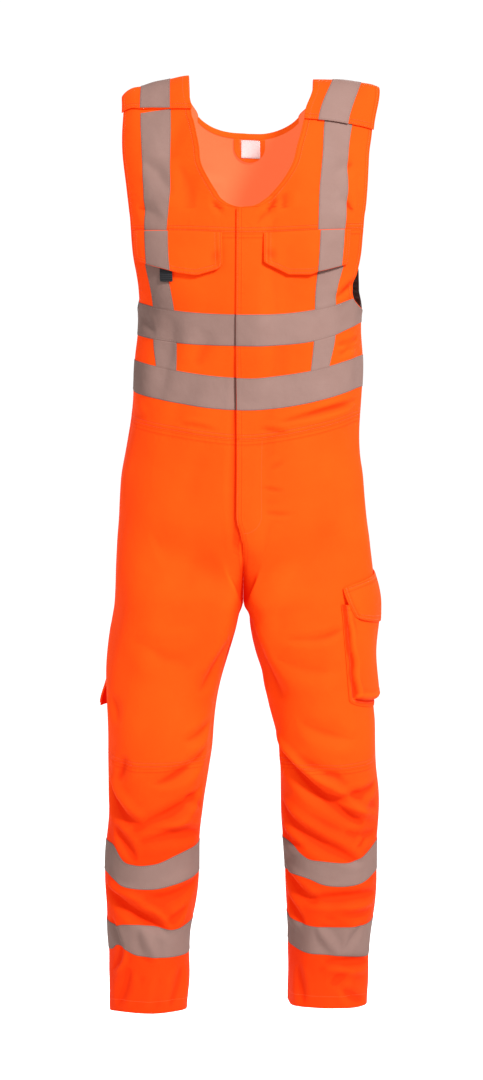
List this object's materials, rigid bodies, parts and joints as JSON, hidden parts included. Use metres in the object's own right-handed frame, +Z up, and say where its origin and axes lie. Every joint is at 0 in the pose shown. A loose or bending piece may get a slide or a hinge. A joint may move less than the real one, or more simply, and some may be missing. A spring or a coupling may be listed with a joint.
{
  "type": "high-visibility bib overalls",
  "caption": "Orange high-visibility bib overalls with wide shoulder straps, reflective bands and braces, chest flaps and a thigh pocket, filled out as worn.",
  "frame": {"origin": "midway between the two shoulder straps, where the wearer's shoulders carry them", "axes": "+Z up; -Y is the front; +X is the wearer's left"},
  "size_m": [0.4805, 0.2746, 1.5851],
  "materials": {
    "orange_cloth": "matte woven twill, fluorescent orange",
    "reflective_tape": "retroreflective, satin grey",
    "black_elastic": "matte knitted elastic and webbing",
    "label_cloth": "smooth woven label, plain"
  },
  "bodies": {
    "root": {"back_panel": "orange_cloth", "bib_front_left": "orange_cloth", "bib_front_right": "orange_cloth", "brace_back_waist_left": "reflective_tape", "brace_back_waist_right": "reflective_tape", "brace_chest_left": "reflective_tape", "brace_chest_right": "reflective_tape", "brace_flap_left": "reflective_tape", "brace_flap_right": "reflective_tape", "brace_rib_left": "reflective_tape", "brace_rib_right": "reflective_tape", "brace_shoulder_left": "reflective_tape", "brace_shoulder_right": "reflective_tape", "brace_waist_left": "reflective_tape", "brace_waist_right": "reflective_tape", "chest_flap_left": "orange_cloth", "chest_flap_right": "orange_cloth", "elastic_insert_left": "black_elastic", "elastic_insert_right": "black_elastic", "hanger_loop": "orange_cloth", "leg_back_left": "orange_cloth", "leg_back_right": "orange_cloth", "lower_band_back": "reflective_tape", "lower_band_front_left": "reflective_tape", "lower_band_front_right": "reflective_tape", "lower_leg_tape_left": "reflective_tape", "lower_leg_tape_right": "reflective_tape", "neck_facing": "orange_cloth", "neck_label": "label_cloth", "pen_tab": "black_elastic", "ruler_pocket": "orange_cloth", "shin_front_left": "orange_cloth", "shin_front_right": "orange_cloth", "thigh_front_left": "orange_cloth", "thigh_front_right": "orange_cloth", "thigh_pocket": "orange_cloth", "thigh_pocket_flap": "orange_cloth", "upper_band_back": "reflective_tape", "upper_band_front_left": "reflective_tape", "upper_band_front_right": "reflective_tape", "upper_leg_tape_left": "reflective_tape", "upper_leg_tape_right": "reflective_tape", "yoke_front_left": "orange_cloth", "yoke_front_right": "orange_cloth"}
  },
  "joints": []
}
